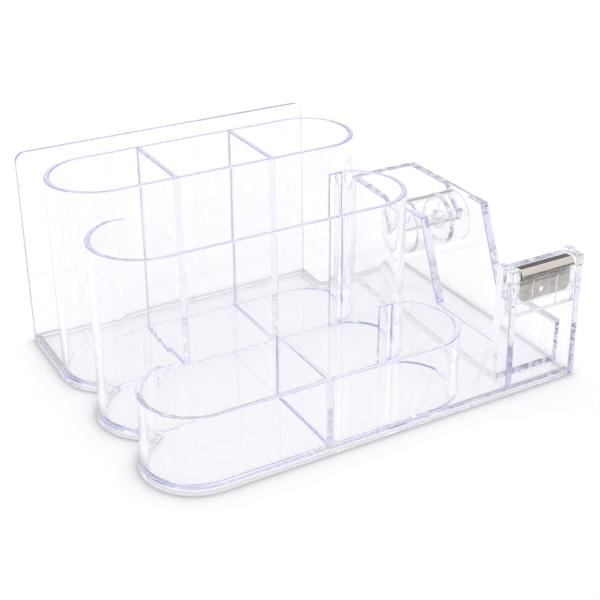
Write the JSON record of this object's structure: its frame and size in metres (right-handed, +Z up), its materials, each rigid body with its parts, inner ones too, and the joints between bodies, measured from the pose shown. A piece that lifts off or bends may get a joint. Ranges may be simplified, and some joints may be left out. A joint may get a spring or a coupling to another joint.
{
  "type": "desk organizer with tape dispenser",
  "caption": "Clear desk organizer: stepped rows of round-ended cells, a card slot at the rear, and a tape dispenser with a lift-out hub and a toothed steel cutter at the right.",
  "frame": {"origin": "under the middle of the overall box, on the surface the base plate stands on", "axes": "+X to the right, towards the tape dispenser; +Y to the rear, towards the card panel; +Z up"},
  "size_m": [0.196, 0.1476, 0.092],
  "materials": {
    "clear_body": "polished clear polystyrene with a faint lavender edge tint",
    "clear_insert": "polished clear polystyrene",
    "clear_hub": "polished clear polystyrene",
    "blade_steel": "bright rolled strip steel, fine lengthwise grain"
  },
  "bodies": {
    "organizer": {"base_plate": "clear_body", "back_panel": "clear_body", "rear_row_rear_wall": "clear_body", "rear_row_front_wall": "clear_body", "rear_row_left_end": "clear_body", "rear_row_right_end": "clear_body", "rear_divider_left": "clear_body", "rear_divider_right": "clear_body", "middle_row_front_wall": "clear_body", "middle_row_left_end": "clear_body", "middle_row_right_end": "clear_body", "front_tray_front_wall": "clear_body", "front_tray_left_end": "clear_body", "front_tray_right_end": "clear_body", "front_divider": "clear_body", "dispenser_left_panel": "clear_body", "dispenser_right_panel": "clear_body", "dispenser_rear_wall": "clear_body", "dispenser_floor": "clear_body", "dispenser_left_rail": "clear_body", "dispenser_right_rail": "clear_body", "cutter_left_wall": "clear_body", "cutter_right_wall": "clear_body", "cutter_rear_wall": "clear_body", "blade_holder": "clear_insert", "cutter_blade": "blade_steel"},
    "axle": {"hub_axle": "clear_hub"},
    "hub": {"tape_hub": "clear_hub"}
  },
  "joints": [
    {"name": "hub_lift", "type": "slide", "parent": "organizer", "child": "axle", "axis": [0, 0, 1], "range_m": [0, 0.04]},
    {"name": "hub_spin", "type": "hinge", "parent": "axle", "child": "hub", "pos_m": [0.079, 0.0102, 0.0456], "axis": [1, 0, 0], "continuous": true}
  ]
}
